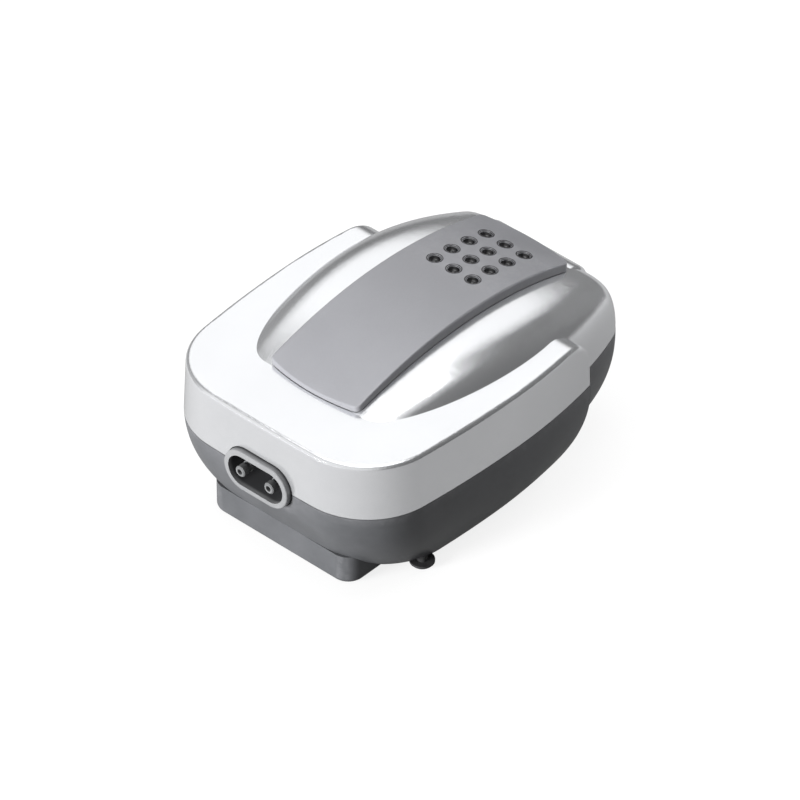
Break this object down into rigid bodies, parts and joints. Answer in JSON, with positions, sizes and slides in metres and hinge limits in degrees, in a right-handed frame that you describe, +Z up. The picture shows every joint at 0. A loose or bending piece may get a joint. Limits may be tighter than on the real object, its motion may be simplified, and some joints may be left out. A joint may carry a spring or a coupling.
{
  "type": "aquarium air pump",
  "caption": "Twin-outlet diaphragm air pump for an aquarium: silver domed casing over a dark tub, grey vented top plate, hose outlets in a front recess, rubber feet.",
  "frame": {"origin": "on the surface the pump stands on, under the middle of the casing", "axes": "+Z up; -Y points out of the air outlets; +X is the right-hand side for someone who faces the outlets"},
  "size_m": [0.1146, 0.1576, 0.075],
  "materials": {
    "silver_casing": "metallic silver lacquer, glossy",
    "dark_casing": "satin moulded",
    "plate_grey": "metallic grey lacquer, satin",
    "bezel_grey": "satin moulded",
    "nozzle_grey": "satin moulded",
    "black_rubber": "matt moulded rubber",
    "plated_steel": "zinc plated",
    "felt": "needled felt",
    "lamination_steel": "stacked sheet edges",
    "moulded_nylon": "natural nylon",
    "enamelled_copper": "enamelled wire",
    "ferrite": "sintered"
  },
  "bodies": {
    "housing": {"upper_casing": "silver_casing", "lower_casing": "dark_casing", "filter_cover": "dark_casing", "top_cover_plate": "plate_grey", "outlet_bezel": "bezel_grey", "left_air_nozzle": "nozzle_grey", "right_air_nozzle": "nozzle_grey", "cord_gland": "black_rubber", "foot_front_left": "black_rubber", "foot_front_right": "black_rubber", "foot_rear_left": "black_rubber", "foot_rear_right": "black_rubber", "left_diaphragm": "black_rubber", "left_valve_flaps": "black_rubber", "left_valve_gasket": "black_rubber", "left_air_hose": "black_rubber", "right_diaphragm": "black_rubber", "right_valve_flaps": "black_rubber", "right_valve_gasket": "black_rubber", "right_air_hose": "black_rubber", "casing_screws": "plated_steel", "core_cradle": "plated_steel", "left_hinge_pin": "plated_steel", "right_hinge_pin": "plated_steel", "intake_filter_pad": "felt", "laminated_core": "lamination_steel", "bobbin": "moulded_nylon", "left_hinge_bracket": "moulded_nylon", "left_diaphragm_clamp": "moulded_nylon", "left_valve_body": "moulded_nylon", "left_valve_cover": "moulded_nylon", "right_hinge_bracket": "moulded_nylon", "right_diaphragm_clamp": "moulded_nylon", "right_valve_body": "moulded_nylon", "right_valve_cover": "moulded_nylon", "coil_winding": "enamelled_copper"},
    "left_lever_body": {"left_lever": "moulded_nylon", "left_drive_magnet": "ferrite", "left_diaphragm_button": "moulded_nylon"},
    "right_lever_body": {"right_lever": "moulded_nylon", "right_drive_magnet": "ferrite", "right_diaphragm_button": "moulded_nylon"}
  },
  "joints": [
    {"name": "left_lever_hinge", "type": "hinge", "parent": "housing", "child": "left_lever_body", "pos_m": [-0.0293, -0.03, 0.034], "axis": [0, 0, 1], "range_deg": [-1.5, 1.5], "stiffness_Nm_per_rad": 0.5},
    {"name": "right_lever_hinge", "type": "hinge", "parent": "housing", "child": "right_lever_body", "pos_m": [0.0293, -0.03, 0.034], "axis": [0, 0, 1], "range_deg": [-1.5, 1.5], "stiffness_Nm_per_rad": 0.5}
  ],
  "couplings": [
    {"joint": "left_lever_hinge", "follows": "right_lever_hinge", "ratio": -1}
  ]
}
